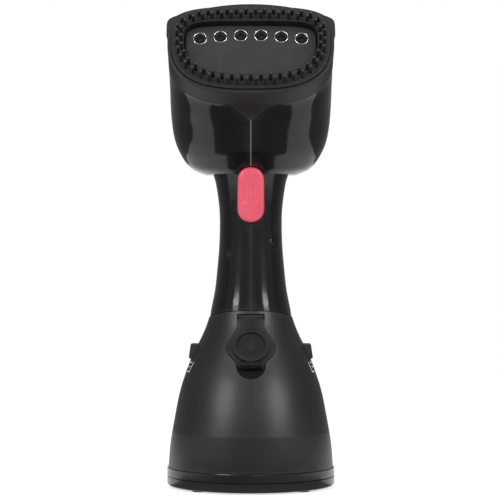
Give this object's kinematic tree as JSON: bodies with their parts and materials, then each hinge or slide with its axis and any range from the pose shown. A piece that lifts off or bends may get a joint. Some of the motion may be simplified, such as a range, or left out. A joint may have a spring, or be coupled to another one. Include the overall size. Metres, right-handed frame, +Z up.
{
  "type": "handheld garment steamer",
  "caption": "Upright handheld garment steamer: water tank base with rubber fill cap, slim handle with trigger, tilted steam head with steam plate and bristle brush",
  "frame": {"origin": "centre of the foot circle on the standing surface", "axes": "+Z up, -Y is the side the steam plate and trigger face, +X is the viewer's right"},
  "size_m": [0.102, 0.1193, 0.289],
  "materials": {
    "tank_shell": "satin",
    "tank_ring": "gloss",
    "tank_base": "gloss",
    "base_feet": "matte",
    "fill_cap": "satin",
    "latch_right": "satin",
    "latch_left": "satin",
    "latch_spring_right": "drawn wire",
    "latch_spring_left": "drawn wire",
    "housing_right": "gloss",
    "housing_left": "gloss",
    "housing_screws": "zinc plated",
    "neck_collar": "moulded",
    "collar_seal": "satin",
    "suction_tube": "translucent silicone look",
    "suction_filter": "moulded",
    "pump": "moulded",
    "pump_coil": "moulded",
    "pump_frame": "zinc plated",
    "pump_inlet_hose": "silicone",
    "steam_hose": "silicone",
    "switch_bracket": "moulded",
    "microswitch": "moulded",
    "trigger": "satin pink red",
    "trigger_spring": "drawn wire",
    "cord_inlet": "satin",
    "cord_clamp": "moulded",
    "clamp_screws": "zinc plated",
    "terminal_block": "moulded",
    "head_bezel": "matte",
    "steam_plate": "coated dark grey, polished rims",
    "plate_gasket": "silicone",
    "boiler_cover": "stamped",
    "boiler_screws": "zinc plated",
    "boiler": "die cast",
    "heating_element": "sheathed",
    "thermostat": "stamped",
    "thermal_fuse": "sleeved",
    "brush_skirt": "matte",
    "brush_ring": "matte",
    "bristles": "satin nylon"
  },
  "bodies": {
    "tank": {"tank_shell": "tank_shell", "tank_ring": "tank_ring", "tank_base": "tank_base", "base_feet": "base_feet", "latch_spring_right": "latch_spring_right", "latch_spring_left": "latch_spring_left"},
    "handset": {"housing_right": "housing_right", "housing_left": "housing_left", "housing_screws": "housing_screws", "neck_collar": "neck_collar", "collar_seal": "collar_seal", "suction_tube": "suction_tube", "suction_filter": "suction_filter", "pump": "pump", "pump_coil": "pump_coil", "pump_frame": "pump_frame", "pump_inlet_hose": "pump_inlet_hose", "steam_hose": "steam_hose", "switch_bracket": "switch_bracket", "microswitch": "microswitch", "trigger_spring": "trigger_spring", "cord_inlet": "cord_inlet", "cord_clamp": "cord_clamp", "clamp_screws": "clamp_screws", "terminal_block": "terminal_block", "head_bezel": "head_bezel", "steam_plate": "steam_plate", "plate_gasket": "plate_gasket", "boiler_cover": "boiler_cover", "boiler_screws": "boiler_screws", "boiler": "boiler", "heating_element": "heating_element", "thermostat": "thermostat", "thermal_fuse": "thermal_fuse"},
    "trigger": {"trigger": "trigger"},
    "brush": {"brush_skirt": "brush_skirt", "brush_ring": "brush_ring", "bristles": "bristles"},
    "fill_cap": {"fill_cap": "fill_cap"},
    "latch_right": {"latch_right": "latch_right"},
    "latch_left": {"latch_left": "latch_left"}
  },
  "joints": [
    {"name": "handset_lift", "type": "slide", "parent": "tank", "child": "handset", "axis": [0, 0, 1], "range_m": [0, 0.13]},
    {"name": "trigger_press", "type": "slide", "parent": "handset", "child": "trigger", "axis": [0, 1, 0], "range_m": [0, 0.0026], "stiffness_N_per_m": 900, "deforming": ["trigger_spring"]},
    {"name": "brush_pull", "type": "slide", "parent": "handset", "child": "brush", "axis": [0, -0.899, 0.438], "range_m": [0, 0.025]},
    {"name": "cap_hinge", "type": "hinge", "parent": "tank", "child": "fill_cap", "pos_m": [0, -0.0176, 0.1034], "axis": [-1, 0, 0], "range_deg": [0, 95]},
    {"name": "latch_right_press", "type": "slide", "parent": "tank", "child": "latch_right", "axis": [-1, 0, 0], "range_m": [0, 0.0022], "stiffness_N_per_m": 900, "deforming": ["latch_spring_right"]},
    {"name": "latch_left_press", "type": "slide", "parent": "tank", "child": "latch_left", "axis": [1, 0, 0], "range_m": [0, 0.0022], "stiffness_N_per_m": 900, "deforming": ["latch_spring_left"]}
  ]
}
